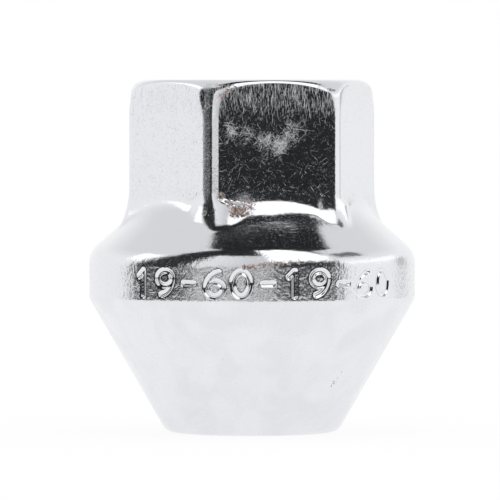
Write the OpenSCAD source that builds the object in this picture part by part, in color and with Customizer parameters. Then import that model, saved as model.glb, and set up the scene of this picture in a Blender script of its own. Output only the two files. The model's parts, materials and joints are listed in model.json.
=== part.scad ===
// Open-end lug nut: a hex drive on a round collar, with a conical seat below and a thread right through.
// Z is the axis of the thread. The small end of the seat stands on Z = 0 and the hex points up,
// with two of its flats square to Y and two of its corners on X.

/* [Overall] */
// Height from the small end of the seat to the top of the hex
nut_h = 30.3; // [27:0.1:40]

/* [Hex drive] */
// Width across the flats
hex_af = 19; // [17:0.1:20]
// Radius that rounds each upright corner
corner_r = 1.2; // [0.5:0.1:2.5]
// Radius that rolls the top of the corners over into the end face
rim_r = 1.9; // [0.8:0.05:2.5]
// Radius of the flare at the foot of each corner
flare_r = 7; // [4:0.1:9]

/* [Collar] */
// Diameter of the collar
collar_d = 28; // [26:0.1:32]
// Height of the collar between the sharp lines of the seat and the shoulder
collar_h = 4; // [3:0.1:6]
// Slope of the shoulder, in degrees from the horizontal
shoulder_slope = 41; // [35:1:50]
// Radius between the collar and the shoulder
shoulder_r = 2.2; // [1:0.1:4]
// Radius between the shoulder and the flats
root_r = 2.2; // [1:0.1:3.5]
// Radius between the collar and the seat
collar_edge_r = 0.9; // [0.3:0.1:2]

/* [Seat] */
// Included angle of the conical seat, in degrees
seat_angle = 60; // [56:1:70]
// Diameter of the seat's small end, before its edge is rounded
nose_d = 14.7; // [14.3:0.1:17]
// Radius that rounds the edge of the small end
nose_r = 1.2; // [0.4:0.1:1.4]

/* [Thread] */
// Nominal diameter of the thread
thread_d = 12; // [10:0.25:12.25]
// Pitch of the thread
thread_pitch = 1.5; // [1:0.25:2]
// Diameter of the countersink at the seat end
lead_in_d = 12.6; // [12.3:0.05:13]
// Diameter of the countersink at the hex end
run_out_d = 12.6; // [12.3:0.05:15]
// Included angle of both countersinks, in degrees
countersink_angle = 90; // [60:5:120]

/* [Hidden] */
$fn = 96;

// Excess radius that makes a round cross the lines it blends, instead of only touching them
seam = 0.0005;
// Depth by which a fillet starts inside the face that it grows out of
bury = 0.02;
// Depth by which a corner flare is set below a full blend, which leaves the crease at its foot
flare_crease = 0.5;
// Length by which a cutter runs past the face that it breaks through
overrun = 1;

// Metric internal thread: the bore is cut to the minor diameter
minor_d = thread_d - 5 / 4 * sqrt(3) / 2 * thread_pitch;

seat_h = (collar_d - nose_d) / 2 / tan(seat_angle / 2);
shoulder_h = seat_h + collar_h;

// Axis of each rounded corner, and the furthest that a corner reaches from the thread's axis
corner_axis = (hex_af / 2 - corner_r) / cos(30);
corner_reach = corner_axis + corner_r;

// Height of the bare shoulder cone at a distance from the axis
function shoulder_z(r) = shoulder_h + (collar_d / 2 - r) * tan(shoulder_slope);

// The flare of a corner starts where a round of its radius would blend corner and shoulder, less the crease
flare_z = shoulder_z(corner_reach) + flare_r * tan((90 - shoulder_slope) / 2) - flare_crease;

function unit(v) = v / norm(v);

// Both tangent points and the centre of a round of radius r in the corner p between a and b
function round_in(a, p, b, r) =
    let (u = unit(a - p), v = unit(b - p), half = acos(u * v) / 2)
    [p + u * r / tan(half), p + v * r / tan(half), p + unit(u + v) * r / sin(half)];

// Closed outline through [x, y, radius] corners, counterclockwise, with every corner rounded to its radius.
// An outer corner is cut back to a disc, and an inner corner is filled up to one.
module rounded_outline(corners) {
    n = len(corners);
    p = [for (c = corners) [c[0], c[1]]];
    rounds = [for (i = [0:n - 1]) round_in(p[(i + n - 1) % n], p[i], p[(i + 1) % n], corners[i][2])];
    outer = [for (i = [0:n - 1]) cross(p[i] - p[(i + n - 1) % n], p[(i + 1) % n] - p[i]) > 0];
    polygon([for (i = [0:n - 1]) each outer[i] ? [rounds[i][0], rounds[i][1]] : [p[i]]]);
    for (i = [0:n - 1])
        if (corners[i][2] > 0) {
            centre = rounds[i][2];
            if (outer[i])
                translate(centre) circle(r = corners[i][2] + seam);
            else
                difference() {
                    polygon([rounds[i][0], p[i] + (p[i] - centre) / 4, rounds[i][1]]);
                    translate(centre) circle(r = corners[i][2] + seam);
                }
        }
}

// Seat, collar and shoulder, turned in one profile up to a core inside the hex
module seat_and_collar() {
    core_r = hex_af / 2 - bury;
    core_top = shoulder_z(core_r) + root_r;
    rotate_extrude()
        rounded_outline([
            [0, 0, 0],
            [nose_d / 2, 0, nose_r],
            [collar_d / 2, seat_h, collar_edge_r],
            [collar_d / 2, shoulder_h, shoulder_r],
            [core_r, shoulder_z(core_r), root_r],
            [core_r, core_top, 0],
            [0, core_top, 0]
        ]);
}

// Hex with rounded corners, rolled over at the top by a turned envelope
module hex_drive() {
    rim_reach = corner_reach + bury;
    intersection() {
        translate([0, 0, seat_h])
            linear_extrude(height = nut_h - seat_h + overrun)
                rounded_outline([
                    for (k = [0:5]) [each hex_af / sqrt(3) * [cos(60 * k), sin(60 * k)], corner_r]
                ]);
        rotate_extrude()
            rounded_outline([
                [0, 0, 0],
                [rim_reach, 0, 0],
                [rim_reach, nut_h, rim_r],
                [0, nut_h, 0]
            ]);
    }
}

// Trumpet that spreads the foot of one corner on to the shoulder
module corner_flare() {
    flare_x = corner_r - bury + flare_r;
    depth = flare_r * cos(shoulder_slope);
    translate([corner_axis, 0, 0])
        rotate_extrude()
            difference() {
                translate([0, flare_z - depth]) square([flare_x, depth]);
                translate([flare_x, flare_z]) circle(r = flare_r);
            }
}

// Countersink that opens from the bore at z = 0 to its mouth diameter, upward
module countersink(mouth_d) {
    slope = tan(countersink_angle / 2);
    translate([0, 0, -(mouth_d / 2) / slope])
        cylinder(h = (mouth_d / 2) / slope + overrun, r1 = 0, r2 = mouth_d / 2 + overrun * slope);
}

// Bore at the thread's minor diameter, countersunk at both ends
module threaded_bore() {
    translate([0, 0, -overrun]) cylinder(h = nut_h + 2 * overrun, d = minor_d);
    translate([0, 0, nut_h]) countersink(run_out_d);
    mirror([0, 0, 1]) countersink(lead_in_d);
}

module lug_nut() {
    color("silver")
        difference() {
            union() {
                seat_and_collar();
                hex_drive();
                for (k = [0:5]) rotate(60 * k) corner_flare();
            }
            threaded_bore();
        }
}

lug_nut();
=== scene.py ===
# %% [markdown]
# A chrome lug nut, dressed in Blender
#
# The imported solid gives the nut's true size and place. This lesson lays a finer skin over it, with what
# the solid leaves out: the helical thread, the number mark stamped into the collar, worn corners and
# softened creases. Then it gives the skin worn chrome plating, and puts the nut in a small light tent,
# because chrome has hardly any colour of its own and shows what stands around it.

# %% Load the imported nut
import json
import math
import bpy
import numpy as np
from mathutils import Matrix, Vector


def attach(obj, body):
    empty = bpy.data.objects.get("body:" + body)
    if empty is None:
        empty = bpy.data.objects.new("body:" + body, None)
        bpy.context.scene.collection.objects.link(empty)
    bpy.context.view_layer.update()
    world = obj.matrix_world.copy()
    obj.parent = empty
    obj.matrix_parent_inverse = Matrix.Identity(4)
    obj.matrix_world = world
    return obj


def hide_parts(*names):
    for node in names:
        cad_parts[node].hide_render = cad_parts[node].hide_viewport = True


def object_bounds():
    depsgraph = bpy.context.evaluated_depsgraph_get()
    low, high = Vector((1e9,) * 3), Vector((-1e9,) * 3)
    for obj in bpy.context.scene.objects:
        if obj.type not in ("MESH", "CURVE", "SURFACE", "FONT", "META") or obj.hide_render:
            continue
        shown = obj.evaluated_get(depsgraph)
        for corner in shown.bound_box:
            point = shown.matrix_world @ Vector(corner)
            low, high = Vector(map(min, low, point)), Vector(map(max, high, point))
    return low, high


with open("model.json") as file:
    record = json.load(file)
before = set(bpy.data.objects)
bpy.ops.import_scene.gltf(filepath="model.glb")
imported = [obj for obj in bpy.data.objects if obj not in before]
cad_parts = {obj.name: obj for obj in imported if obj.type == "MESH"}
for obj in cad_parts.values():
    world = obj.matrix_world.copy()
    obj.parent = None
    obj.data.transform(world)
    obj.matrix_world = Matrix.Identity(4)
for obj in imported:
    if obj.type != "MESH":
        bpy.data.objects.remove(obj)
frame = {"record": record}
cad_low, cad_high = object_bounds()
print("packed nut, mm:", [round(1000 * side, 2) for side in cad_high - cad_low])

# %% [markdown]
# The sizes
#
# Blender works in metres here, but a nut is drawn in millimetres, so every size below is in millimetres
# and the finished points are scaled once. The height, the collar and the bore are read from the packed
# part, so that the skin can't drift away from it. The other sizes repeat the drawing.

# %% Sizes of the nut, in millimetres
MM = 0.001
stud_thread = next(mount for mount in frame["record"]["mounts"] if mount["name"] == "stud_thread")
nut_h = (cad_high.z - cad_low.z) / MM
collar_r = (cad_high.x - cad_low.x) / 2 / MM
minor_r = stud_thread["dims"]["r_mm"]

flat_reach = 19.0 / 2
corner_r = 1.2
rim_r = 1.9
flare_r = 7.0
flare_crease = 0.5
collar_h = 4.0
shoulder_slope = math.radians(41)
shoulder_r = 2.2
collar_edge_r = 0.9
seat_half_angle = math.radians(30)
nose_reach = 14.7 / 2
nose_r = 1.2
mouth_r = 12.6 / 2
thread_pitch = 1.5
major_r = 12.0 / 2

seat_h = (collar_r - nose_reach) / math.tan(seat_half_angle)
shoulder_h = seat_h + collar_h
shoulder_lean = math.pi / 2 - shoulder_slope
corner_axis = (flat_reach - corner_r) / math.cos(math.radians(30))
corner_reach = corner_axis + corner_r


def shoulder_z(radius):
    """Height of the bare shoulder cone at a distance from the axis."""
    return shoulder_h + (collar_r - radius) * math.tan(shoulder_slope)


flare_z = shoulder_z(corner_reach) + flare_r * math.tan(shoulder_lean / 2) - flare_crease
band_low = seat_h + collar_edge_r * math.tan(seat_half_angle / 2)
band_high = shoulder_h - shoulder_r * math.tan(shoulder_lean / 2)
print(f"collar band {band_low:.2f} to {band_high:.2f}")
print(f"corners reach {corner_reach:.2f}, flares start at {flare_z:.2f}")

# %% [markdown]
# The camera
#
# The view is almost level with the top of the nut, from about half a metre away with a long lens: the top
# face is seen edge-on, and the small end bows only a little. One flat of the hex faces a little to the
# right. A tracking constraint could aim the camera, but a plain rotation is easier to read back.

# %% Camera
PICTURE_PX = 500
MM_PER_PX = 0.086
AXIS_PX = 252.1
TOP_PX = 79.5
CAMERA_DISTANCE = 537.0
CAMERA_AZIMUTH = math.radians(-11.5)

toward_camera = Vector((math.sin(CAMERA_AZIMUTH), -math.cos(CAMERA_AZIMUTH), 0))
picture_right = Vector((math.cos(CAMERA_AZIMUTH), math.sin(CAMERA_AZIMUTH), 0))
sidestep = picture_right * (PICTURE_PX / 2 - AXIS_PX) * MM_PER_PX
target_z = nut_h - (PICTURE_PX / 2 - TOP_PX) * MM_PER_PX
eye = (toward_camera * CAMERA_DISTANCE + sidestep + Vector((0, 0, nut_h))) * MM
target = (sidestep + Vector((0, 0, target_z))) * MM

camera_data = bpy.data.cameras.new("camera")
camera_data.sensor_width = 36.0
camera_data.lens = camera_data.sensor_width * CAMERA_DISTANCE / (PICTURE_PX * MM_PER_PX)
camera_data.clip_start = 0.01
camera = bpy.data.objects.new("camera", camera_data)
camera.location = eye
camera.rotation_mode = "QUATERNION"
camera.rotation_quaternion = (target - eye).to_track_quat("-Z", "Y")
bpy.context.scene.collection.objects.link(camera)
bpy.context.scene.camera = camera
bpy.context.scene.view_settings.view_transform = "Standard"
print(f"lens {camera_data.lens:.0f} mm, {CAMERA_DISTANCE:.0f} mm from the nut")

# %% [markdown]
# Rings for a skin
#
# A nut is almost a turned part, so its skin is a stack of rings from the small end up the outside, across
# the top and down the bore. Spinning a profile with a Screw modifier would be quicker, but then the hex,
# the stamp and the thread would need cutters. Rings whose points are worked out one by one can carry all
# three in one closed mesh. Where two rings have the same angles, quads join them. Where they don't, a
# zipper of triangles starts where the two rings come closest and steps along whichever ring lags behind.

# %% Rings and the skin between them
FULL_TURN = 2 * math.pi
PLATE, SEAT, THREAD = range(3)
skin_points = []
skin_wear = {"rust": [], "dull": [], "tangle": [], "scuff": [], "rough": []}
skin_faces = []
skin_finish = []
point_count = 0


def add_points(points, **wear):
    """Keeps points with their amounts of each kind of wear, and returns the numbers of the points."""
    global point_count
    numbers = np.arange(point_count, point_count + len(points))
    skin_points.append(points)
    for kind, amounts in skin_wear.items():
        amounts.append(np.broadcast_to(wear.get(kind, 0.0), len(points)))
    point_count += len(points)
    return numbers


def add_ring(angles, radius, height, **wear):
    """Adds one ring, and returns its angles with the numbers of its points."""
    radius = np.broadcast_to(radius, len(angles))
    height = np.broadcast_to(height, len(angles))
    points = np.stack([radius * np.cos(angles), radius * np.sin(angles), height], axis=1)
    return angles, add_points(points, **wear)


def add_faces(faces, finish):
    """Keeps faces and the finish that they take."""
    skin_faces.extend(faces)
    skin_finish.extend([finish] * len(faces))


def zipper(lower, upper):
    """Triangles between two rings that have different angles."""
    (low_angles, low), (high_angles, high) = lower, upper
    ahead = (high_angles - low_angles[0]) % FULL_TURN
    first = int(np.argmin(ahead))
    high = np.roll(high, -first)
    low_ends = np.append(low_angles - low_angles[0], FULL_TURN)
    high_ends = np.append(np.roll(ahead, -first), ahead[first] + FULL_TURN)
    faces = []
    i = j = 0
    while i < len(low) or j < len(high):
        a = low[i % len(low)]
        b = high[j % len(high)]
        if j == len(high) or (i < len(low) and low_ends[i + 1] <= high_ends[j + 1]):
            i += 1
            faces.append((a, low[i % len(low)], b))
        else:
            j += 1
            faces.append((a, high[j % len(high)], b))
    return faces


def join(lower, upper, finish):
    """Skin from one ring up to the next, with its outside to the left. Returns the upper ring."""
    low, high = lower[1], upper[1]
    if len(low) == len(high):
        low_next, high_next = np.roll(low, -1), np.roll(high, -1)
        add_faces(list(zip(low, low_next, high_next, high)), finish)
    else:
        add_faces(zipper(lower, upper), finish)
    return upper


def even_angles(count):
    """Angles of an evenly divided ring."""
    return np.arange(count) * FULL_TURN / count


def smooth_step(value, low, high):
    """Rises from 0 at low to 1 at high along an S."""
    share = np.clip((value - low) / (high - low), 0, 1)
    return share * share * (3 - 2 * share)


print("finishes: plate, seat and thread")

# %% [markdown]
# The hex, its corner flares and the shoulder
#
# The hex stands on a cone. The solid joins them with a fillet round the axis and a trumpet at the foot of
# each corner, which leaves sharp creases between the three. Forged and plated metal has none, so the skin
# takes the further of hex and cone with a maximum that is rounded where they meet, which makes the fillet.
# A socket always turns the nut the same way to tighten it, so each corner is rolled over on one side and
# stays tight on the other. At the foot of most corners the flare fades along the flats. At two of them it
# has been beaten out, and there it is the corner's own outline, moved outward and on wider arcs.

# %% Outlines of the hex, the flares and the shoulder
SIXTH = FULL_TURN / 6
ROOT_BLEND = 1.8
BURY = 0.02
TINY = 1e-6
TIGHT_R = 1.0
ROLLED_R = 2.4
ROLL_END = math.radians(8)
ARC_POINTS = 60
FLARE_SPREAD = math.radians(80)
FLARE_FADE = math.radians(28)
SWELL = (0.7, 1.4)
FOOT_BLEND = 0.3
BLEND_GAIN = 3.0
BEATEN = {
    # number of the corner, how much its rolled and its tight arc widen, and how softly its flare starts
    4: (5.0, 1.9, 0.3),
    5: (0.0, 1.2, 0.3),
}

cone_start = band_high + shoulder_r * math.sin(shoulder_lean)
root_top = shoulder_z(flat_reach - ROOT_BLEND)
flare_depth = flare_r * math.cos(shoulder_slope)


def from_corner(angles):
    """Angle from the nearest corner of the hex."""
    return angles - np.round(angles / SIXTH) * SIXTH


def nearest_corner(angles):
    """Number of the nearest corner of the hex."""
    return np.round(angles / SIXTH).astype(int) % 6


def corner_outline(growth=0.0, spread=SIXTH / 2, rolled_r=ROLLED_R, tight_r=TIGHT_R, base_r=ROLLED_R):
    """Angle and radius along one worn corner, as a wide arc from one flat and a tight one into the next.

    The two arcs meet where arcs of the base radius and of the tight one run smoothly into their flats. A
    flare is the same outline moved outward by its growth, on wider arcs, and followed to a wider spread.
    """
    half = SIXTH / 2
    along_right = flat_reach - TIGHT_R + TIGHT_R * math.cos(half + ROLL_END)
    along_left = flat_reach - base_r + base_r * math.cos(half - ROLL_END)
    meet_x = (along_left + along_right) / (2 * math.cos(half))
    meet_y = (along_right - along_left) / (2 * math.sin(half))
    outward = np.array([math.cos(ROLL_END), -math.sin(ROLL_END)])
    arcs = []
    for radius, start, end in (
        (rolled_r, -spread, -ROLL_END),
        (tight_r, -ROLL_END, spread),
    ):
        slopes = np.linspace(start, end, ARC_POINTS)
        centre = np.array([meet_x, meet_y]) + (growth - radius) * outward
        arcs.append(centre + radius * np.stack([np.cos(slopes), np.sin(slopes)], axis=1))
    x, y = np.concatenate([arcs[0], arcs[1][1:]]).T
    return np.arctan2(y, x), np.hypot(x, y)


def hex_radius(angles, rolled_r=ROLLED_R):
    """Distance from the axis to the hex."""
    psi = from_corner(angles)
    flat = flat_reach / np.cos(SIXTH / 2 - np.abs(psi))
    corner_angle, corner_radius = corner_outline(rolled_r=rolled_r, base_r=rolled_r)
    on_corner = (psi > corner_angle[0]) & (psi < corner_angle[-1])
    return np.where(on_corner, np.interp(psi, corner_angle, corner_radius), flat)


def flare_growth(z):
    """How far the flare stands out from its corner at a height."""
    drop = np.clip(flare_z - z, 0, flare_depth)
    return flare_r - math.sqrt(flare_r**2 - drop**2)


def flare_edge(angles, z):
    """Distance from the axis to the flare at the foot of the nearest corner, and how softly it starts."""
    growth = flare_growth(z)
    swell = smooth_step(flare_z - z, *SWELL)
    psi = from_corner(angles)
    fading = growth * (1 - smooth_step(np.abs(psi), 0, FLARE_FADE))
    radius = hex_radius(angles) + fading
    blend = np.minimum(FOOT_BLEND, BLEND_GAIN * fading) + TINY
    for number, (rolled_gain, tight_gain, softness) in BEATEN.items():
        here = nearest_corner(angles) == number
        rolled_r = ROLLED_R + rolled_gain * growth
        tight_r = TIGHT_R + tight_gain * swell
        outline = corner_outline(growth - BURY, FLARE_SPREAD, rolled_r, tight_r)
        radius[here] = np.interp(psi[here], *outline, left=0.0, right=0.0)
        blend[here] = min(softness, BLEND_GAIN * growth) + TINY
    return radius, blend


def shoulder_radius(z):
    """Distance from the axis to the shoulder cone."""
    return collar_r - (z - shoulder_h) / math.tan(shoulder_slope)


def round_max(a, b, width):
    """The larger of two values, rounded where they come within a width of each other."""
    near = np.maximum(width - np.abs(a - b), 0) / width
    return np.maximum(a, b) + near**3 * width / 6


def round_min(a, b, width):
    """The smaller of two values, rounded in the same way."""
    return -round_max(-a, -b, width)


print(f"shoulder cone from {cone_start:.2f}, plain hex from {root_top:.2f}")

# %% [markdown]
# The stamped mark
#
# A row of plain numbers is stamped into the collar, for the width of the hex and the angle of the seat. A
# boolean cut would leave ragged triangles, and a bump map would be flat from the side, so the collar gets
# a fine grid of points, and each point sinks by its distance from the nearest stroke. Between the strokes
# the rolled metal stays rough. How rough is kept on the points, so that the grooves stay clean.

# %% Strokes of the numbers, in millimetres
MARK = "19-60-19-60"
MARK_START = math.radians(-41)
MARK_STEP = math.radians(9.3)
DIGIT_W = 1.45
DIGIT_H = 2.1


def line(x0, y0, x1, y1, count=40):
    """Points along a straight stroke."""
    return np.stack([np.linspace(x0, x1, count), np.linspace(y0, y1, count)], axis=1)


def oval(x, y, across, up, start=0, end=360, count=80):
    """Points along an oval stroke, with its angles in degrees."""
    turn = np.radians(np.linspace(start, end, count))
    return np.stack([x + across * np.cos(turn), y + up * np.sin(turn)], axis=1)


half_w, half_h = DIGIT_W / 2, DIGIT_H / 2
bowl_h = 0.3 * DIGIT_H
tail_h = 0.68 * DIGIT_H
flag_w, flag_h = 0.7 * half_w, 0.55 * half_h
dash_w = 0.6 * half_w
six = np.concatenate([
    oval(0, bowl_h - half_h, half_w, bowl_h),
    oval(half_w, bowl_h - half_h, DIGIT_W, tail_h, 180, 105),
])
strokes = {
    "0": oval(0, 0, half_w, half_h),
    "1": np.concatenate([line(0, -half_h, 0, half_h), line(0, half_h, -flag_w, flag_h)]),
    "6": six,
    "9": -six,
    "-": line(-dash_w, 0, dash_w, 0),
}


def mark_angle(angle_from_camera):
    """Angle about the axis of a direction given from the camera's side, positive to the right."""
    return angle_from_camera + CAMERA_AZIMUTH - math.pi / 2


band_middle = (band_low + band_high) / 2
mark_points = np.concatenate([
    strokes[sign] + (collar_r * (mark_angle(MARK_START) + step * MARK_STEP), band_middle)
    for step, sign in enumerate(MARK)
])
print(f"{len(MARK)} places, {len(mark_points)} stroke points")

# %% Depth of the stamp at any point of the collar
GROOVE_FLOOR = 0.06
GROOVE_EDGE = 0.28
GROOVE_DEPTH = 0.15
ROUGH_EDGE = 0.5
MARK_MARGIN = 0.6
FINE_CELL = 0.068
COARSE_STEP = math.radians(1.5)
CLOSING_GAP = math.radians(1)


def stamp_at(angles, z):
    """Depth of the mark at each angle of a row of the collar, and how rough the metal is there."""
    across = collar_r * angles[:, None] - mark_points[None, :, 0]
    distance = np.sqrt(np.min(across**2 + (z - mark_points[None, :, 1]) ** 2, axis=1))
    groove = GROOVE_DEPTH * (1 - smooth_step(distance, GROOVE_FLOOR, GROOVE_EDGE))
    return groove, smooth_step(distance, GROOVE_EDGE, ROUGH_EDGE)


mark_first = mark_angle(MARK_START) - MARK_MARGIN * MARK_STEP
mark_last = mark_angle(MARK_START) + (len(MARK) - 1 + MARK_MARGIN) * MARK_STEP
fine = np.arange(mark_first, mark_last, FINE_CELL / collar_r)
coarse = np.arange(fine[-1], mark_first + FULL_TURN - CLOSING_GAP, COARSE_STEP)[1:]
band_angles = np.concatenate([fine, coarse])
band_rows = np.linspace(band_low, band_high, round((band_high - band_low) / FINE_CELL) + 1)
print(f"collar band: {len(band_angles)} columns, {len(band_rows)} rows")

# %% [markdown]
# Where the plating has suffered
#
# Rust breaks through chrome where the plating is thin: in creases and at nicks, in small clusters, and in
# a thin line along the top of the collar. Near it the polish is dull. The amounts are kept on the points of
# the skin as attributes, and the material breaks them up into specks. Painting a texture would do it too,
# but attributes need no unwrapping. Tangled scratches are kept in the same way.

# %% Worn places
# Each place has its angle from the camera in degrees, its height, its reach and its amount
RUST_PLACES = [
    (-14.2, 20.45, 0.65, 1.1),
    (-10.2, 19.8, 0.65, 1.1),
    (-7.5, 19.2, 1.1, 1.2),
    (-4.5, 19.1, 1.1, 1.1),
    (-2.0, 19.7, 1.2, 0.9),
    (1.0, 19.6, 0.9, 0.75),
    (35.0, 20.5, 0.45, 0.9),
    (-21.5, 19.0, 0.7, 0.8),
    (-14.4, 28.85, 0.5, 1.05),
    (-12.8, 29.15, 0.45, 1.0),
    (-11.0, 29.4, 0.5, 1.05),
    (-8.5, 29.65, 0.5, 0.95),
    (44.0, 4.5, 0.6, 0.95),
    (47.0, 5.2, 0.7, 0.75),
    (51.0, 5.7, 0.6, 0.85),
    (150.0, 19.7, 1.2, 0.8),
    (205.0, 14.8, 1.8, 0.7),
    (255.0, 20.3, 0.9, 0.8),
]
RUST_LINE = (-2.5, -1.0, 0.8, 3.0, 4.5, 6.8, 8.0, 10.0, 13.2, 16.5)
LINE_Z, LINE_RISE = 14.6, 0.025
RUST_PLACES += [(beta, LINE_Z + LINE_RISE * beta, 0.5, 1.05) for beta in RUST_LINE]
DULL_PLACES = [
    (-7.0, 19.2, 1.3, 0.8),
    (-4.0, 19.8, 1.4, 0.7),
]
TANGLE_PLACES = [
    (-9.0, 26.2, 1.3, 0.9),
    (-2.0, 25.7, 1.4, 0.9),
    (6.0, 25.1, 1.6, 1.0),
    (14.0, 24.7, 1.6, 1.0),
    (22.0, 25.8, 2.2, 0.7),
    (-6.0, 23.2, 1.8, 0.5),
    (-12.0, 22.0, 2.0, 0.4),
    (60.0, 25.0, 2.5, 0.3),
    (135.0, 25.0, 3.0, 0.8),
    (190.0, 23.5, 3.0, 0.7),
    (250.0, 26.0, 3.0, 0.8),
]
CORE_SHARE = 0.2


def worn(places, angles, radius, z):
    """How much of one kind of wear the listed places leave at each point of a row."""
    amount = np.zeros(len(angles))
    for beta, height, reach, most in places:
        gap = np.angle(np.exp(1j * (angles - mark_angle(math.radians(beta)))))
        distance = np.hypot(radius * gap, z - height)
        amount = np.maximum(amount, most * (1 - smooth_step(distance, CORE_SHARE * reach, reach)))
    return amount


def wear_at(angles, radius, z):
    """Rust, dull plating and tangled scratches at each point of a row."""
    radius = np.broadcast_to(radius, len(angles))
    places = {"rust": RUST_PLACES, "dull": DULL_PLACES, "tangle": TANGLE_PLACES}
    return {kind: worn(listed, angles, radius, z) for kind, listed in places.items()}


print(f"{len(RUST_PLACES)} rusty, {len(DULL_PLACES)} dull and {len(TANGLE_PLACES)} tangled places")

# %% [markdown]
# The outside, ring by ring
#
# The rows are close together where the form turns and far apart where it is straight, because a straight
# stretch needs no points between its ends. The hex gets columns every fraction of a degree round its
# corners and one each degree along its flats. Sockets rub the top of the flats, one of them most of all,
# and roll all corners but one furthest near the top. The crease at the rim is softer along the flats than
# at the corners. The grain of the rolled collar fades out over the fillet above it.

# %% Cone, collar and stamped band
ROUND_ANGLES = even_angles(240)
MOUTH_ANGLES = even_angles(96)
SEAT_STEPS = 12


def turned_ring(radius, z, angles=ROUND_ANGLES, rough=0.0):
    """A turned ring with its wear."""
    return add_ring(angles, radius, z, rough=rough, **wear_at(angles, radius, z))


def round_rows(centre_r, centre_z, radius, start, end, count):
    """Radius and height of each row of a turned round, from one slope of its outside to another."""
    slopes = np.linspace(start, end, count)
    return [(centre_r + radius * math.cos(slope), centre_z + radius * math.sin(slope)) for slope in slopes]


nose_flat = nose_reach - nose_r * math.tan(math.pi / 4 - seat_half_angle / 2)
seat_rows = round_rows(nose_flat, nose_r, nose_r, -math.pi / 2, -seat_half_angle, count=14)
edge_rows = round_rows(collar_r - collar_edge_r, band_low, collar_edge_r, -seat_half_angle, 0, count=10)
(low_r, low_z), (high_r, high_z) = seat_rows[-1], edge_rows[0]
for share in np.linspace(0, 1, SEAT_STEPS)[1:-1]:
    seat_rows.append((low_r + share * (high_r - low_r), low_z + share * (high_z - low_z)))

bottom_mouth = add_ring(MOUTH_ANGLES, mouth_r, 0.0)
below = bottom_mouth
for radius, z in seat_rows + edge_rows[:-1]:
    below = join(below, turned_ring(radius, z), SEAT)
for z in band_rows:
    groove, rough = stamp_at(band_angles, z)
    below = join(below, turned_ring(collar_r - groove, z, band_angles, rough), PLATE)
print(f"{point_count} points up to the top of the collar band")

# %% Columns of the hex and its wear
COLUMN_SPANS = [(-4, 4, 0.4), (4, 10, 0.75), (10, 50, 1.0), (50, 56, 0.75)]
LEAST_WORN_CORNER = 5
LEAST_DULL = 0.1
ROLL_DULL = 0.72
ROLL_MIDDLE = math.radians(-2.6)
ROLL_REACH = math.radians(2.6)
ROLL_CORE = 0.4 * ROLL_REACH
SCUFFED_FLAT = 4.5 * SIXTH
OTHER_SCUFF = 0.65
TOP_SCUFF = (24.5, 29.0)
TOP_FACE = (nut_h - 0.45, nut_h - 0.05)
FLECKS = 0.32
ROOT_ROUGH = 0.25
root_fade = (root_top - 2.0, root_top)
shoulder_end = (root_top - 3.5, root_top - 2.5)
root_end = (root_top - 0.7, root_top + 0.3)

corner_columns = np.concatenate([np.arange(*span) for span in COLUMN_SPANS])
hex_angles = np.radians(np.concatenate([corner_columns + 60 * number for number in range(6)]))
least_worn = nearest_corner(hex_angles) == LEAST_WORN_CORNER
off_roll = smooth_step(np.abs(from_corner(hex_angles) - ROLL_MIDDLE), ROLL_CORE, ROLL_REACH)
roll_dull = np.where(least_worn, LEAST_DULL, ROLL_DULL) * (1 - off_roll)
scuff_share = np.where(np.abs(hex_angles - SCUFFED_FLAT) < SIXTH / 2, 1.0, OTHER_SCUFF)


def hex_wear(radius, z):
    """Wear at each point of a row on the hex, where sockets rub its top and roll its corners."""
    wear = wear_at(hex_angles, radius, z)
    above_root = smooth_step(z, *root_fade)
    under_top = 1 - smooth_step(z, *TOP_FACE)
    wear["dull"] = np.maximum(wear["dull"], roll_dull * above_root * under_top)
    wear["tangle"] = np.maximum(wear["tangle"], FLECKS * above_root) * under_top
    wear["scuff"] = scuff_share * smooth_step(z, *TOP_SCUFF) * under_top
    wear["rough"] = ROOT_ROUGH * smooth_step(z, *shoulder_end) * (1 - smooth_step(z, *root_end))
    return wear


print(f"{len(hex_angles)} columns round the hex")

# %% Shoulder, hex and rim
FILLET_ROUGH = 0.7
ROOT_RISE = 1.0
TOP_ROLLED_R = 4.2
TOP_ROLL = (26.8, 29.6)
RIM_BLEND = 0.85
CORNER_RIM_BLEND = 0.55
RIM_BLEND_SPREAD = (math.radians(4), math.radians(13))
rim_reach = corner_reach + BURY
hex_edge = hex_radius(hex_angles)
top_edge = np.where(least_worn, hex_edge, hex_radius(hex_angles, TOP_ROLLED_R))
along_flat = smooth_step(np.abs(from_corner(hex_angles)), *RIM_BLEND_SPREAD)
rim_blend = CORNER_RIM_BLEND + (RIM_BLEND - CORNER_RIM_BLEND) * along_flat


def rolled_edge(z):
    """Distance from the axis to the hex at a height, with most corners rolled further near the top."""
    return hex_edge + (top_edge - hex_edge) * smooth_step(z, *TOP_ROLL)


fillet_rows = round_rows(collar_r - shoulder_r, band_high, shoulder_r, 0, shoulder_lean, count=18)
for radius, z in fillet_rows[1:]:
    fading_rough = FILLET_ROUGH * (1 - smooth_step(z, band_high, cone_start))
    below = join(below, turned_ring(radius, z, hex_angles, fading_rough), PLATE)

root_rows = np.linspace(cone_start, flare_z, 50)[1:]
flat_rows = np.linspace(flare_z, nut_h - rim_r, 12)[1:-1]
for z in np.concatenate([root_rows, flat_rows]):
    bare = np.maximum(rolled_edge(z), shoulder_radius(z))
    rounding = round_max(rolled_edge(z), shoulder_radius(z), ROOT_BLEND) - bare
    root_edge = bare + rounding * smooth_step(z, cone_start, cone_start + ROOT_RISE)
    radius = round_max(root_edge, *flare_edge(hex_angles, z))
    below = join(below, add_ring(hex_angles, radius, z, **hex_wear(radius, z)), PLATE)

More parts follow.
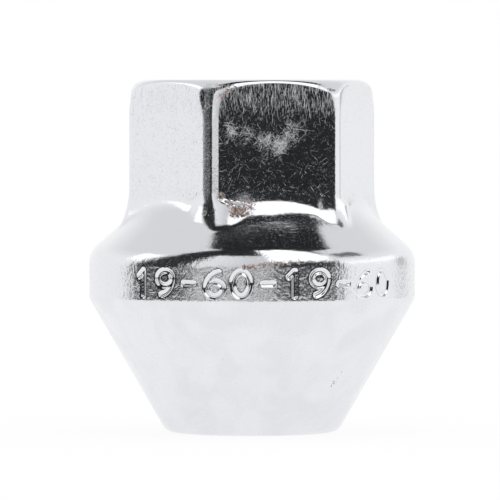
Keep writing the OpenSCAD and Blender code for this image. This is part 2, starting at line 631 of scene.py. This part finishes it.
rim_rows = round_rows(rim_reach - rim_r, nut_h - rim_r, rim_r, 0, math.pi / 2, count=32)
for turned_edge, z in rim_rows:
    radius = round_min(rolled_edge(z), turned_edge, rim_blend)
    below = join(below, add_ring(hex_angles, radius, z, **hex_wear(radius, z)), PLATE)
top_mouth = join(below, add_ring(MOUTH_ANGLES, mouth_r, nut_h), PLATE)
print(f"{point_count} points up to the mouth of the bore")

# %% [markdown]
# The thread
#
# A right-hand thread climbs one pitch in each turn. A Screw modifier can sweep a tooth, but its ends stick
# out of the nut and have to be cut. Here the bore is a grid of points whose rows climb as they go round, so
# that each row follows one line of the thread: crest, flank, root and flank again. At both mouths the
# countersink takes over, and rows that would leave the nut end on the ring of the mouth.

# %% Helical rows of the bore
CREST_SHARE = 0.25
ROOT_SHARE = 0.125
EDGE_SHARE = 0.04
bottom_points = bottom_mouth[1]
top_points = top_mouth[1]
columns = len(MOUTH_ANGLES)
flank_low, flank_high = CREST_SHARE / 2, 0.5 - ROOT_SHARE / 2
phases = [flank_low - EDGE_SHARE, flank_low + EDGE_SHARE, flank_high - EDGE_SHARE, flank_high + EDGE_SHARE]
phases = np.array(phases + [1 - phase for phase in reversed(phases)])
turns = np.arange(-2, math.ceil(nut_h / thread_pitch) + 1)
row_phase = np.tile(phases, len(turns))
row_z = thread_pitch * (np.repeat(turns, len(phases)) + row_phase)


def tooth_radius(phase):
    """Radius of the thread at a share of its pitch, with its edges softened."""
    rise = np.minimum(phase, 1 - phase)
    flank = minor_r + (major_r - minor_r) * (rise - flank_low) / (flank_high - flank_low)
    return round_min(round_max(flank, minor_r, EDGE_SHARE), major_r, EDGE_SHARE)


tooth = tooth_radius(row_phase)
bore = np.empty((columns + 1, len(row_z)), dtype=int)
for column, angle in enumerate(MOUTH_ANGLES):
    z = row_z + thread_pitch * angle / FULL_TURN
    radius = np.maximum(tooth, np.maximum(mouth_r - z, mouth_r - (nut_h - z)))
    kept = (z > EDGE_SHARE) & (z < nut_h - EDGE_SHARE)
    points = np.stack([radius * math.cos(angle), radius * math.sin(angle), z], axis=1)[kept]
    bore[column] = np.where(z < nut_h / 2, bottom_points[column], top_points[column])
    bore[column, kept] = add_points(points)
bore[columns, :-len(phases)] = bore[0, len(phases):]
bore[columns, -len(phases):] = top_points[0]
for column in range(columns):
    here, there = bore[column], bore[column + 1]
    for row in range(len(row_z) - 1):
        corners = (here[row], here[row + 1], there[row + 1], there[row])
        face = list(dict.fromkeys(corners))
        if len(face) > 2:
            add_faces([face], THREAD)
print(f"{point_count} points with the thread, {nut_h / thread_pitch:.0f} turns")

# %% [markdown]
# One closed mesh
#
# The points become a mesh in one call. Edges that turn sharply, such as those of the thread and of the
# countersinks, are marked sharp, and everything else is shaded smooth. The skin then stands for the packed
# solid and rides on its only body.

# %% The nut's mesh
SHARP_ANGLE = math.radians(32)
all_points = np.concatenate(skin_points) * MM
all_faces = [[int(number) for number in face] for face in skin_faces]
nut_mesh = bpy.data.meshes.new("lug_nut_skin")
nut_mesh.from_pydata(all_points.tolist(), [], all_faces)
nut_mesh.polygons.foreach_set("material_index", skin_finish)
nut_mesh.polygons.foreach_set("use_smooth", [True] * len(all_faces))
for kind, amounts in skin_wear.items():
    attribute = nut_mesh.attributes.new(kind, "FLOAT", "POINT")
    attribute.data.foreach_set("value", np.concatenate(amounts))
nut_mesh.set_sharp_from_angle(angle=SHARP_ANGLE)
nut_mesh.update()
nut_skin = bpy.data.objects.new("lug_nut_skin", nut_mesh)
bpy.context.scene.collection.objects.link(nut_skin)
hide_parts("lug_nut")
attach(nut_skin, "root")
triangles = sum(len(face) - 2 for face in all_faces)
print(f"{len(nut_mesh.vertices)} points, {triangles} triangles")


# %% [markdown]
# Helpers for node trees
#
# Shader nodes are wired in Python by making each node and linking its sockets. Small helpers keep that
# short: one places a node and fills its inputs with values or with other nodes' sockets, some do sums, and
# one makes a node group with named inputs and outputs.

# %% Node helpers
def place(tree, kind, inputs=None, **options):
    """Adds a node, sets its options and fills its inputs with values or links."""
    node = tree.nodes.new(kind)
    for option, value in options.items():
        setattr(node, option, value)
    for socket, value in (inputs or {}).items():
        if isinstance(value, bpy.types.NodeSocket):
            tree.links.new(value, node.inputs[socket])
        else:
            node.inputs[socket].default_value = value
    return node


def calculate(tree, operation, *values):
    """Output of a Math node on one or more values."""
    return place(tree, "ShaderNodeMath", dict(enumerate(values)), operation=operation).outputs[0]


def scaled(tree, value, gain):
    """A value times a gain."""
    return calculate(tree, "MULTIPLY", value, gain)


def total(tree, first, *others):
    """The sum of several values."""
    for other in others:
        first = calculate(tree, "ADD", first, other)
    return first


def remap(tree, value, low, high, to_low=0.0, to_high=1.0):
    """Output of a smooth, clamped Map Range node."""
    inputs = {"Value": value, "From Min": low, "From Max": high, "To Min": to_low, "To Max": to_high}
    return place(tree, "ShaderNodeMapRange", inputs, interpolation_type="SMOOTHSTEP").outputs["Result"]


def stretched(tree, position, scale):
    """A position with each of its axes scaled."""
    inputs = {"Vector": position, "Scale": scale}
    return place(tree, "ShaderNodeMapping", inputs, vector_type="POINT").outputs["Vector"]


def noise(tree, position, scale, detail=2.0, distortion=0.0):
    """Output of a noise texture, around 0.5."""
    inputs = {"Vector": position, "Scale": scale, "Detail": detail, "Distortion": distortion}
    return place(tree, "ShaderNodeTexNoise", inputs).outputs["Fac"]


def sized_noise(tree, position, size, detail=2.0, distortion=0.0):
    """Output of a noise texture whose spots have a size in millimetres."""
    return noise(tree, position, calculate(tree, "DIVIDE", 1.0, size), detail, distortion)


def new_group(name, inputs, outputs):
    """An empty shader node group with named float sockets and a Position input."""
    group = bpy.data.node_groups.new(name, "ShaderNodeTree")
    group.interface.new_socket("Position", in_out="INPUT", socket_type="NodeSocketVector")
    for label, value in inputs.items():
        socket = group.interface.new_socket(label, in_out="INPUT", socket_type="NodeSocketFloat")
        socket.default_value = value
    for label, kind in outputs.items():
        group.interface.new_socket(label, in_out="OUTPUT", socket_type=kind)
    entry = group.nodes.new("NodeGroupInput")
    result = group.nodes.new("NodeGroupOutput")
    return group, entry.outputs, result.inputs


def use_group(tree, group, **inputs):
    """Places a node group in a tree and returns its outputs."""
    node = tree.nodes.new("ShaderNodeGroup")
    node.node_tree = group
    for label, value in inputs.items():
        socket = node.inputs[label.replace("_", " ")]
        if isinstance(value, bpy.types.NodeSocket):
            tree.links.new(value, socket)
        else:
            socket.default_value = value
    return node.outputs


def skin_position(tree):
    """Place on the nut in millimetres, which is the scale that the textures are written in."""
    coordinates = tree.nodes.new("ShaderNodeTexCoord").outputs["Object"]
    inputs = {0: coordinates, "Scale": 1 / MM}
    return place(tree, "ShaderNodeVectorMath", inputs, operation="SCALE").outputs["Vector"]


def unrolled(tree, position):
    """Place on the skin as if it were rolled out flat, as the way round and the height."""
    parts = place(tree, "ShaderNodeSeparateXYZ", {"Vector": position}).outputs
    turn = calculate(tree, "ARCTAN2", parts["Y"], parts["X"])
    way_round = scaled(tree, turn, flat_reach)
    return place(tree, "ShaderNodeCombineXYZ", {"X": way_round, "Y": parts["Z"]}).outputs["Vector"]


def point_amount(tree, name):
    """An amount kept on the points of a mesh."""
    return place(tree, "ShaderNodeAttribute", attribute_name=name).outputs["Fac"]


FLOAT, COLOR = "NodeSocketFloat", "NodeSocketColor"
print("node helpers ready")

# %% [markdown]
# Grain of the plating
#
# Chrome follows the steel under it: a fine grain from the blank's surface and slow swirls from forging and
# polishing. Both are noise textures added up to a height, which each finish turns into a bump of its own
# strength. The same noise gives a haze, a share of the surface where the polish is dull.

# %% Node group for the grain
SWIRL_WARP = 1.2
HAZE_RANGE = (0.5, 0.75)
grain_group, given, result = new_group(
    "plating_grain",
    {"Grain Size": 0.15, "Swirl Size": 0.6, "Swirl Share": 0.5},
    {"Height": FLOAT, "Haze": FLOAT},
)
tree = grain_group
fine_grain = sized_noise(tree, given["Position"], given["Grain Size"])
swirl = sized_noise(tree, given["Position"], given["Swirl Size"], distortion=SWIRL_WARP)
swirl_part = scaled(tree, swirl, given["Swirl Share"])
grain_part = scaled(tree, fine_grain, calculate(tree, "SUBTRACT", 1.0, given["Swirl Share"]))
tree.links.new(total(tree, swirl_part, grain_part), result["Height"])
tree.links.new(remap(tree, fine_grain, *HAZE_RANGE), result["Haze"])
print("plating grain")

# %% [markdown]
# Hairline scratches
#
# A socket leaves short upright hairs on the flats, and a drawer full of nuts leaves tangles of scratches at
# all angles. A hair is a peak of a noise that is stretched along its way, so hairs at one angle are one
# noise that is cut off near its peaks. The noises lie on the skin as if it were rolled out flat, so that
# each hair keeps its angle on every flat.

# %% Node group for scratches
HAIR_TILTS = [-7, 9]
HAIR_FLOOR, HAIR_GAIN, HAIR_SOFTNESS = 0.76, 0.22, 0.14
TANGLE_TILTS = [35, -52, 81, -18]
TANGLE_FLOOR, TANGLE_GAIN, TANGLE_SOFTNESS = 0.77, 0.24, 0.12
HAIR_WARP = 0.9
scratch_group, given, result = new_group(
    "hairline_scratches",
    {"Width": 0.048, "Length": 0.9, "Hair Amount": 0.0, "Tangle Amount": 0.0},
    {"Hairs": FLOAT, "Tangles": FLOAT},
)
tree = scratch_group
hair_size = {"X": given["Width"], "Y": given["Length"], "Z": 1.0}
hair_scale = place(tree, "ShaderNodeCombineXYZ", hair_size).outputs["Vector"]


def laid_hairs(tilts, floor_level, softness):
    """The strongest of several noises that are stretched along their tilts, in degrees."""
    strongest = 0.0
    for tilt in tilts:
        inputs = {"Vector": given["Position"], "Rotation": (0, 0, math.radians(tilt)), "Scale": hair_scale}
        laid = place(tree, "ShaderNodeMapping", inputs, vector_type="TEXTURE").outputs["Vector"]
        peak = calculate(tree, "SUBTRACT", noise(tree, laid, 1.0, 1.0, HAIR_WARP), floor_level)
        strongest = calculate(tree, "MAXIMUM", strongest, remap(tree, peak, 0.0, softness))
    return strongest


hair_floor = calculate(tree, "SUBTRACT", HAIR_FLOOR, scaled(tree, given["Hair Amount"], HAIR_GAIN))
tangle_floor = calculate(tree, "SUBTRACT", TANGLE_FLOOR, scaled(tree, given["Tangle Amount"], TANGLE_GAIN))
tree.links.new(laid_hairs(HAIR_TILTS, hair_floor, HAIR_SOFTNESS), result["Hairs"])
tree.links.new(laid_hairs(TANGLE_TILTS, tangle_floor, TANGLE_SOFTNESS), result["Tangles"])
print("hairline scratches")

# %% [markdown]
# Rust specks
#
# The amount of rust on the points is smooth. A fine noise turns it into specks: the more rust, the lower
# the level at which the noise breaks through. The colour runs from dark brown to a pale one.

# %% Node group for rust
DARK_RUST = (0.07, 0.055, 0.05, 1)
PALE_RUST = (0.5, 0.36, 0.3, 1)
SHADE_RANGE = (0.35, 0.65)
SHADE_SCALE = 4.5
RUST_FLOOR, RUST_GAIN, RUST_SOFTNESS = 0.86, 0.42, 0.07
rust_group, given, result = new_group(
    "rust_specks",
    {"Amount": 0.0, "Speck Size": 0.16},
    {"Mask": FLOAT, "Color": COLOR},
)
tree = rust_group
speck = sized_noise(tree, given["Position"], given["Speck Size"], detail=3.0, distortion=0.6)
rust_floor = calculate(tree, "SUBTRACT", RUST_FLOOR, scaled(tree, given["Amount"], RUST_GAIN))
speck_peak = calculate(tree, "SUBTRACT", speck, rust_floor)
tree.links.new(remap(tree, speck_peak, 0.0, RUST_SOFTNESS), result["Mask"])
ramp = place(tree, "ShaderNodeValToRGB", {"Fac": noise(tree, given["Position"], SHADE_SCALE)})
for stop, where, color in zip(ramp.color_ramp.elements, SHADE_RANGE, (DARK_RUST, PALE_RUST)):
    stop.position = where
    stop.color = color
tree.links.new(ramp.outputs["Color"], result["Color"])
print("rust specks")

# %% [markdown]
# The bright plate
#
# Hex, shoulder and collar are bright chrome. The shader is one metallic Principled BSDF. Scratches, which
# come in patches, haze, wear and rust raise its roughness, so that it scatters the tent's light, and bumps
# tilt its reflections: the grain everywhere, and a stronger swirl on the collar, where the blank was
# rolled. On the shoulder the grain is drawn out round the axis, as turning leaves it.

# %% Helpers for plated metal
RUST_COVER = 0.75


def metal(name):
    """A new material with a metallic shader, and the tree to wire it in."""
    material = bpy.data.materials.new(name)
    material.use_nodes = True
    shader = material.node_tree.nodes["Principled BSDF"]
    shader.inputs["Metallic"].default_value = 1.0
    return material, material.node_tree, shader


def mixed_color(tree, share, first, second):
    """Output of a colour mix."""
    mix = place(tree, "ShaderNodeMix", {"Factor": share}, data_type="RGBA")
    for identifier, value in (("A_Color", first), ("B_Color", second)):
        socket = next(s for s in mix.inputs if s.identifier == identifier)
        if isinstance(value, bpy.types.NodeSocket):
            tree.links.new(value, socket)
        else:
            socket.default_value = value
    return next(s for s in mix.outputs if s.identifier == "Result_Color")


def let_rust_through(tree, shader, rust, plate_color):
    """Breaks a plate's colour and its metal where there is rust."""
    tree.links.new(mixed_color(tree, rust["Mask"], plate_color, rust["Color"]), shader.inputs["Base Color"])
    left_metal = calculate(tree, "SUBTRACT", 1.0, scaled(tree, rust["Mask"], RUST_COVER))
    tree.links.new(left_metal, shader.inputs["Metallic"])


def add_bump(tree, shader, height):
    """Tilts the reflections by a height in millimetres."""
    bump = place(tree, "ShaderNodeBump", {"Height": height, "Strength": 1.0, "Distance": MM})
    tree.links.new(bump.outputs["Normal"], shader.inputs["Normal"])


print("plated metal can be wired")

# %% Bright plate
CHROME = (0.795, 0.80, 0.83, 1)
POLISH = 0.07
SCRATCH_DULL = 0.5
TANGLE_WEIGHT = 1.3
HAZE_DULL = 0.14
RUST_DULL = 0.45
WEAR_DULL = 0.26
ROLLED_DULL = 0.13
TURNED_DULL = 0.015
GRAIN_H = 0.004
SWIRL_H = 0.05
RING_H = 0.004
RUST_H = 0.03
RING_STRETCH = (0.7, 0.7, 14.0)
PATCH_SCALE = 0.4
PATCH_RANGE = (0.35, 0.65)
PATCH_GAINS = (0.8, 1.2)
shoulder_from = (band_high, band_high + 0.5)
shoulder_to = (root_top - 3.0, root_top - 2.0)

bright_plate, tree, shader = metal("bright_plate")
position = skin_position(tree)
height_z = place(tree, "ShaderNodeSeparateXYZ", {"Vector": position}).outputs["Z"]
on_shoulder = calculate(
    tree, "MULTIPLY",
    remap(tree, height_z, *shoulder_from),
    remap(tree, height_z, *shoulder_to, 1.0, 0.0),
)
rust = use_group(tree, rust_group, Position=position, Amount=point_amount(tree, "rust"))
grain = use_group(tree, grain_group, Position=position, Grain_Size=0.16, Swirl_Size=0.7, Swirl_Share=0.35)
patches = remap(tree, noise(tree, position, PATCH_SCALE), *PATCH_RANGE, *PATCH_GAINS)
scratches = use_group(
    tree, scratch_group,
    Position=unrolled(tree, position),
    Hair_Amount=point_amount(tree, "scuff"),
    Tangle_Amount=scaled(tree, point_amount(tree, "tangle"), patches),
)
tangles = scaled(tree, scratches["Tangles"], TANGLE_WEIGHT)
rough = point_amount(tree, "rough")
let_rust_through(tree, shader, rust, CHROME)
roughness = total(
    tree,
    scaled(tree, calculate(tree, "MAXIMUM", scratches["Hairs"], tangles), SCRATCH_DULL),
    scaled(tree, grain["Haze"], HAZE_DULL),
    scaled(tree, rust["Mask"], RUST_DULL),
    scaled(tree, point_amount(tree, "dull"), WEAR_DULL),
    scaled(tree, rough, ROLLED_DULL),
    scaled(tree, on_shoulder, TURNED_DULL),
    POLISH,
)
tree.links.new(roughness, shader.inputs["Roughness"])

ring_marks = noise(tree, stretched(tree, position, RING_STRETCH), 1.0, detail=3.0)
swirls = use_group(tree, grain_group, Position=position, Grain_Size=0.25, Swirl_Size=0.75, Swirl_Share=0.75)
rolled_swirl = scaled(tree, calculate(tree, "SUBTRACT", swirls["Height"], 0.5), rough)
height = total(
    tree,
    scaled(tree, grain["Height"], GRAIN_H),
    scaled(tree, rolled_swirl, SWIRL_H),
    scaled(tree, scaled(tree, ring_marks, on_shoulder), RING_H),
    scaled(tree, rust["Mask"], RUST_H),
)
add_bump(tree, shader, height)
print("bright plate")

# %% [markdown]
# The seat and the thread
#
# The cone has the same plating, less polished, so it looks satin. The plating is thin in the thread, where
# the steel shows darker and rougher. Both use the same node groups with their own values.

# %% Seat plate
SEAT_CHROME = (0.825, 0.83, 0.86, 1)
DULL_CHROME = (0.78, 0.785, 0.815, 1)
SEAT_POLISH = 0.22
SEAT_SCRATCH_DULL = 0.1
SEAT_HAZE_DULL = 0.06
SEAT_GRAIN_H = 0.008
CLOUD_SCALE = 0.3
CLOUD_RANGE = (0.35, 0.65)

seat_plate, tree, shader = metal("seat_plate")
position = skin_position(tree)
rust = use_group(tree, rust_group, Position=position, Amount=point_amount(tree, "rust"))
grain = use_group(tree, grain_group, Position=position, Grain_Size=0.3, Swirl_Size=2.5, Swirl_Share=0.6)
scratches = use_group(
    tree, scratch_group,
    Position=unrolled(tree, position),
    Width=0.12,
    Length=1.6,
    Tangle_Amount=0.35,
)
cloud = noise(tree, position, CLOUD_SCALE, detail=4.0, distortion=0.5)
plate_color = mixed_color(tree, remap(tree, cloud, *CLOUD_RANGE), SEAT_CHROME, DULL_CHROME)
let_rust_through(tree, shader, rust, plate_color)
roughness = total(
    tree,
    scaled(tree, scratches["Tangles"], SEAT_SCRATCH_DULL),
    scaled(tree, grain["Haze"], SEAT_HAZE_DULL),
    SEAT_POLISH,
)
tree.links.new(roughness, shader.inputs["Roughness"])
add_bump(tree, shader, scaled(tree, grain["Height"], SEAT_GRAIN_H))
print("seat plate")

# %% Thread steel
STEEL = (0.62, 0.61, 0.61, 1)
STAINED_STEEL = (0.42, 0.40, 0.38, 1)
THREAD_POLISH = 0.26
THREAD_HAZE_DULL = 0.2
THREAD_GRAIN_H = 0.02
STAIN_SCALE = 0.5
STAIN_RANGE = (0.4, 0.7)

thread_steel, tree, shader = metal("thread_steel")
position = skin_position(tree)
grain = use_group(tree, grain_group, Position=position, Grain_Size=0.25, Swirl_Size=1.5, Swirl_Share=0.5)
stain = noise(tree, position, STAIN_SCALE, detail=3.0, distortion=0.5)
steel_color = mixed_color(tree, remap(tree, stain, *STAIN_RANGE), STEEL, STAINED_STEEL)
tree.links.new(steel_color, shader.inputs["Base Color"])
roughness = total(tree, scaled(tree, grain["Haze"], THREAD_HAZE_DULL), THREAD_POLISH)
tree.links.new(roughness, shader.inputs["Roughness"])
add_bump(tree, shader, scaled(tree, grain["Height"], THREAD_GRAIN_H))
for material in (bright_plate, seat_plate, thread_steel):
    nut_mesh.materials.append(material)
print("finishes:", [material.name for material in nut_mesh.materials])

# %% [markdown]
# The floor and the light
#
# The nut stands on a white sheet in even white light, so the world is plain white and the floor gives most
# of its white by itself, with a diffuse share that keeps the soft shadow where the nut stands.

# %% White world and floor
WHITE = (1, 1, 1, 1)
FLOOR_REACH = 6.0
FLOOR_GLOW = 0.88
FLOOR_PAINT = (0.9, 0.9, 0.9)
FLOOR_SHARE = 0.135

world = bpy.data.worlds.new("white_tent")
bpy.context.scene.world = world
world.use_nodes = True
world.node_tree.nodes["Background"].inputs["Color"].default_value = WHITE
world.node_tree.nodes["Background"].inputs["Strength"].default_value = 1.0

floor_paper = bpy.data.materials.new("floor_paper")
floor_paper.use_nodes = True
tree = floor_paper.node_tree
tree.nodes.remove(tree.nodes["Principled BSDF"])
glow = place(tree, "ShaderNodeEmission", {"Color": WHITE, "Strength": FLOOR_GLOW})
paint_color = tuple(FLOOR_SHARE * part for part in FLOOR_PAINT) + (1,)
paint = place(tree, "ShaderNodeBsdfDiffuse", {"Color": paint_color})
both = place(tree, "ShaderNodeAddShader", {0: glow.outputs[0], 1: paint.outputs[0]})
tree.links.new(both.outputs[0], tree.nodes["Material Output"].inputs["Surface"])

floor_mesh = bpy.data.meshes.new("floor")
corners = [(x * FLOOR_REACH, y * FLOOR_REACH, 0) for x, y in ((-1, -1), (1, -1), (1, 1), (-1, 1))]
floor_mesh.from_pydata(corners, [], [(0, 1, 2, 3)])
floor_mesh.materials.append(floor_paper)
floor = bpy.data.objects.new("floor", floor_mesh)
bpy.context.scene.collection.objects.link(floor)
print("white floor and world")

# %% [markdown]
# What the chrome sees
#
# A mirror looks like its surroundings, so the surroundings are built as a photographer builds them: cards
# stand round the nut, dark ones to draw lines and bright ones to draw highlights, under a ceiling that
# fades to white at its edge, which shades the shoulders softly. Each card is a patch of a sphere about the
# nut, given by its angles from the camera's side. Only reflections see the cards, so they neither light
# the floor nor stand in the picture.

# %% A card for the light tent
TENT_R = 0.40
COOL_DARK = (0.92, 1.0, 1.08, 1)
COOL_BELOW = 0.5
tent_middle = Vector((0, 0, nut_h / 2 * MM))
card_glow = bpy.data.materials.new("card_glow")
card_glow.use_nodes = True
tree = card_glow.node_tree
tree.nodes.remove(tree.nodes["Principled BSDF"])
level = point_amount(tree, "level")
card_color = mixed_color(tree, remap(tree, level, 0.0, COOL_BELOW), COOL_DARK, WHITE)
glow = place(tree, "ShaderNodeEmission", {"Color": card_color, "Strength": level})
tree.links.new(glow.outputs[0], tree.nodes["Material Output"].inputs["Surface"])


def tent_point(beta, elevation, reach):
    """A point of the tent, at angles in degrees from the camera's side and from the horizon."""
    azimuth = math.radians(beta) + CAMERA_AZIMUTH
    slope = math.radians(elevation)
    across = reach * math.cos(slope)
    away = Vector((across * math.sin(azimuth), -across * math.cos(azimuth), reach * math.sin(slope)))
    return tent_middle + away


def hang(name, points, row, levels):
    """Makes a card of rows of points that only reflections see."""
    mesh = bpy.data.meshes.new(name)
    corners = [i for i in range(len(points) - row) if i % row < row - 1]
    mesh.from_pydata(points, [], [(c, c + 1, c + row + 1, c + row) for c in corners])
    mesh.attributes.new("level", "FLOAT", "POINT").data.foreach_set("value", levels)
    mesh.materials.append(card_glow)
    piece = bpy.data.objects.new(name, mesh)
    bpy.context.scene.collection.objects.link(piece)
    for rays in ("camera", "diffuse", "transmission", "volume_scatter", "shadow"):
        setattr(piece, f"visible_{rays}", False)


def card(name, level, rise, low, high, reach=TENT_R, low_level=None, steps=24):
    """A card between two heights, with its left and right edges at the low and the high one, in degrees.

    Its level is one number, or the numbers at its left and right edge. A low level is where it starts from.
    """
    levels_across = np.linspace(*np.broadcast_to(level, 2), steps + 1)
    levels_below = levels_across if low_level is None else np.full(steps + 1, low_level)
    points = []
    levels = []
    for up in np.linspace(0, 1, steps + 1):
        levels.extend(levels_below + up * (levels_across - levels_below))
        elevation = rise[0] + up * (rise[1] - rise[0])
        left = low[0] + up * (high[0] - low[0])
        right = low[1] + up * (high[1] - low[1])
        for side in np.linspace(0, 1, steps + 1):
            points.append(tent_point(left + side * (right - left), elevation, reach))
    hang(name, points, steps + 1, levels)


def round_card(name, level, beta, elevation, radius, reach=TENT_R, steps=24):
    """A round card about a direction, all in degrees."""
    turn = (tent_point(beta, elevation, reach) - tent_middle).to_track_quat("Z", "Y")
    points = []
    for away in np.radians(np.linspace(0, radius, steps + 1)):
        across = math.sin(away)
        for around in np.linspace(0, FULL_TURN, 2 * steps + 1):
            ring = Vector((across * math.cos(around), across * math.sin(around), math.cos(away)))
            points.append(tent_middle + turn @ (ring * reach))
    hang(name, points, 2 * steps + 1, [level] * len(points))


print("cards can be hung")

# %% Cards round the nut
DARK = 0.02
NEARER, NEAREST = 0.97 * TENT_R, 0.94 * TENT_R
FARTHER = 1.03 * TENT_R

card("ceiling_edge_card", 0.82, (20, 38), (-180, 180), (-180, 180), FARTHER, low_level=1.0)
card("ceiling_card", 0.82, (38, 90), (-180, 180), (-180, 180), FARTHER)
card("front_dark_card", DARK, (-4, 42), (-95, 65), (-68, 62))
card("upper_dark_card", DARK, (42, 84), (-68, 62), (-60, 90))
round_card("zenith_dark_card", DARK, 115, 82, 22)
card("bright_card", 1.4, (23, 78), (13, 61), (8, 66), NEARER)
card("grey_card", (1.0, 0.62), (2.5, 50), (-46, 14), (-31, 11), NEARER)
card("strip_card", (0.8, 0.88), (-0.9, 2.5), (-45, 16), (-45, 16), NEAREST)
card("left_card", 1.35, (17, 41), (-101, -87), (-99, -74), NEARER)
card("right_low_card", 1.03, (-4, 10), (66, 126), (66, 126), FARTHER)
card("right_card", 1.25, (10, 24), (66, 126), (66, 126), FARTHER)
card("right_dark_card", 0.17, (33, 47), (71, 97), (71, 100), NEARER)
card("right_line_card", 0.6, (-4, 12), (122, 138), (122, 138), NEARER)
print("cards round the nut")

# %% A dark apron on the floor in front
APRON_NEAR, APRON_FAR = 0.12, 0.39
APRON_SIDES = (-94, 65)
APRON_STEPS = 49
APRON_Z = 0.0003
apron_sides = np.radians(np.linspace(*APRON_SIDES, APRON_STEPS)) + CAMERA_AZIMUTH
apron_points = [
    (far * math.sin(side), -far * math.cos(side), APRON_Z)
    for far in (APRON_NEAR, APRON_FAR)
    for side in apron_sides
]
hang("apron_card", apron_points, len(apron_sides), [DARK] * len(apron_points))
print("apron in front of the nut")
